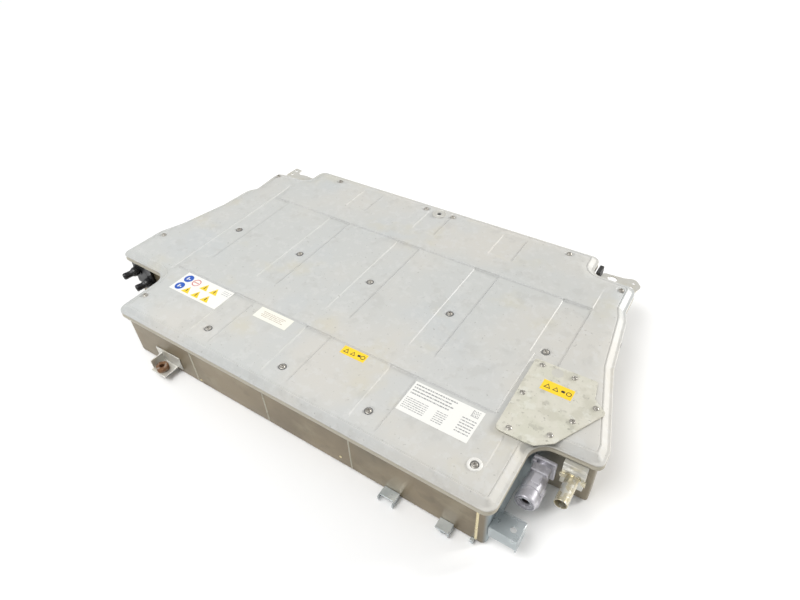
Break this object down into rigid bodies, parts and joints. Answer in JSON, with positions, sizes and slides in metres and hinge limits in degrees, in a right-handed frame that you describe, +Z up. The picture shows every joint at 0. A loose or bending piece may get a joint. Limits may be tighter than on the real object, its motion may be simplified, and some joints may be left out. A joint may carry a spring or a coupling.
{
  "type": "traction battery pack",
  "caption": "Flat steel battery pack with a stamped lid, service cover, high voltage connector, vent tube, swivelling coolant elbows and prismatic cell modules inside.",
  "frame": {"origin": "on the tray's underside, below the middle of the pack", "axes": "+X right along the front edge, +Y to the back, +Z up"},
  "size_m": [1.4247, 0.877, 0.1722],
  "materials": {
    "lid_paint": "satin light grey paint",
    "zinc_steel": "zinc plated, dull",
    "member_steel": "plain",
    "screw_steel": "zinc plated",
    "washer_white": "white",
    "seal_rubber": "black",
    "bush_steel": "rusty",
    "plate_aluminium": "as rolled",
    "cell_blue": "insulating film",
    "port_black": "glass filled",
    "cover_plastic": "natural",
    "bar_copper": "bare copper",
    "header_alloy": "die cast",
    "tube_zinc": "yellow zinc",
    "cover_zinc": "cream",
    "label_white": "printed film"
  },
  "bodies": {
    "pack": {"battery_controller": "port_black", "bracket_front_left": "zinc_steel", "bracket_front_right": "zinc_steel", "bracket_rear_left": "zinc_steel", "bracket_rear_right": "zinc_steel", "busbars": "bar_copper", "cell_links": "plate_aluminium", "contactor_negative": "cover_plastic", "contactor_positive": "cover_plastic", "coolant_pipe_inlet": "plate_aluminium", "coolant_pipe_outlet": "plate_aluminium", "coolant_port_plate": "port_black", "cooling_plate": "plate_aluminium", "cross_member_1": "member_steel", "cross_member_2": "member_steel", "cross_member_3": "member_steel", "cross_member_4": "member_steel", "cross_member_5": "member_steel", "current_sensor": "cover_plastic", "hv_header": "header_alloy", "hv_insert": "port_black", "junction_base": "zinc_steel", "labels": "label_white", "lid": "lid_paint", "lid_pillars": "member_steel", "lid_screws": "screw_steel", "lid_seal": "seal_rubber", "lid_washer": "washer_white", "main_fuse": "cover_plastic", "module_cells_1": "cell_blue", "module_cells_2": "cell_blue", "module_cells_3": "cell_blue", "module_cells_4": "cell_blue", "module_cells_5": "cell_blue", "module_cells_6": "cell_blue", "module_cells_7": "cell_blue", "module_cells_8": "cell_blue", "module_covers": "cover_plastic", "module_frame_1": "plate_aluminium", "module_frame_2": "plate_aluminium", "module_frame_3": "plate_aluminium", "module_frame_4": "plate_aluminium", "module_frame_5": "plate_aluminium", "module_frame_6": "plate_aluminium", "module_frame_7": "plate_aluminium", "module_frame_8": "plate_aluminium", "mount_bush": "bush_steel", "rear_buffer": "seal_rubber", "service_cover": "cover_zinc", "service_screws": "screw_steel", "service_seal": "seal_rubber", "signal_connector": "port_black", "tray": "zinc_steel", "vent_block": "plate_aluminium", "vent_tube": "tube_zinc", "wall_clips": "zinc_steel"},
    "inlet_elbow": {"coolant_elbow_inlet": "port_black"},
    "outlet_elbow": {"coolant_elbow_outlet": "port_black"},
    "positive_armature": {"armature_positive": "screw_steel"},
    "negative_armature": {"armature_negative": "screw_steel"}
  },
  "joints": [
    {"name": "inlet_swivel", "type": "hinge", "parent": "pack", "child": "inlet_elbow", "pos_m": [-0.662, -0.262, 0.113], "axis": [0, -1, 0], "range_deg": [-60, 60]},
    {"name": "outlet_swivel", "type": "hinge", "parent": "pack", "child": "outlet_elbow", "pos_m": [-0.618, -0.262, 0.088], "axis": [0, -1, 0], "range_deg": [-60, 60]},
    {"name": "positive_pull_in", "type": "slide", "parent": "pack", "child": "positive_armature", "axis": [0, 0, 1], "range_m": [0, 0.0025], "stiffness_N_per_m": 1500, "springref_m": -0.003},
    {"name": "negative_pull_in", "type": "slide", "parent": "pack", "child": "negative_armature", "axis": [0, 0, 1], "range_m": [0, 0.0025], "stiffness_N_per_m": 1500, "springref_m": -0.003}
  ]
}
